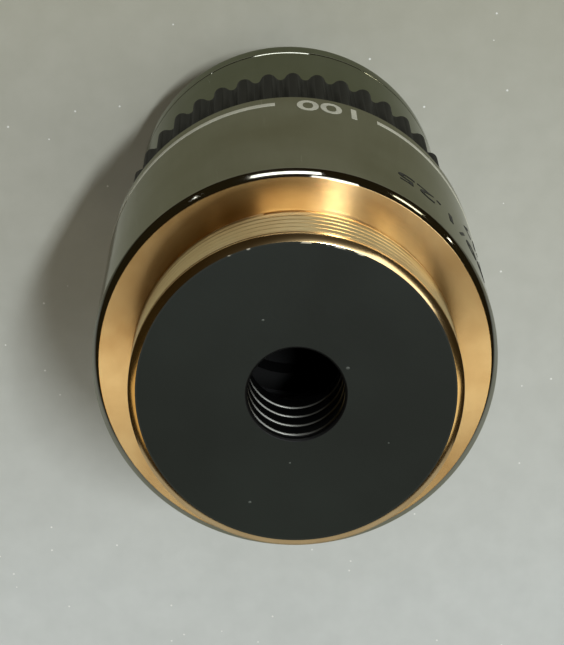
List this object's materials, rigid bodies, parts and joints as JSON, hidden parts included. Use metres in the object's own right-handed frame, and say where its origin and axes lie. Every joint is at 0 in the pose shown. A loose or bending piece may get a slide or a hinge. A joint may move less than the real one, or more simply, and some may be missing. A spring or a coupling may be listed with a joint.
{
  "type": "microscope objective",
  "caption": "Spring-loaded oil-immersion microscope objective with a screw mount, plated barrel, fluted black grip ring and a sliding lens unit in a conical nose.",
  "frame": {"origin": "centre of the mounting shoulder, where the objective seats against the nosepiece", "axes": "+Z along the optical axis, out of the thread towards the microscope tube; -Z towards the specimen; the guide screw lies on the +Y side"},
  "size_m": [0.0252, 0.0252, 0.0497],
  "materials": {
    "plated_brass": "bright chrome plate over brass, with the shoulder and thread left bare",
    "black_grip": "matte black anodised",
    "shim_brass": "ground flat",
    "screw_steel": "blackened screw",
    "spring_steel": "drawn spring wire",
    "bare_brass": "fine turned, bare",
    "hard_nose": "fine turned plated steel",
    "cell_brass": "blackened inside the light path",
    "black_aluminium": "matte black anodised",
    "optical_glass": "polished and coated"
  },
  "bodies": {
    "mount_body": {"mount_barrel": "plated_brass", "rear_stop": "black_aluminium", "grip_ring": "black_grip", "front_sleeve": "plated_brass", "nose_cone": "plated_brass", "parfocal_shim": "shim_brass", "guide_screw": "screw_steel", "return_spring": "spring_steel"},
    "lens_unit": {"lens_barrel": "bare_brass", "front_cell": "hard_nose", "front_lens": "optical_glass", "meniscus_cell": "cell_brass", "meniscus_lens": "optical_glass", "centring_screws": "screw_steel", "lower_doublet_cell": "cell_brass", "lower_doublet_flint": "optical_glass", "lower_doublet_crown": "optical_glass", "cell_spacer": "black_aluminium", "upper_doublet_cell": "cell_brass", "upper_doublet_flint": "optical_glass", "upper_doublet_crown": "optical_glass", "pupil_stop": "black_aluminium", "lens_lock_ring": "black_aluminium"}
  },
  "joints": [
    {"name": "nose_retract", "type": "slide", "parent": "mount_body", "child": "lens_unit", "axis": [0, 0, 1], "range_m": [0, 0.002], "stiffness_N_per_m": 850, "springref_m": -0.0035, "deforming": ["return_spring"]}
  ]
}
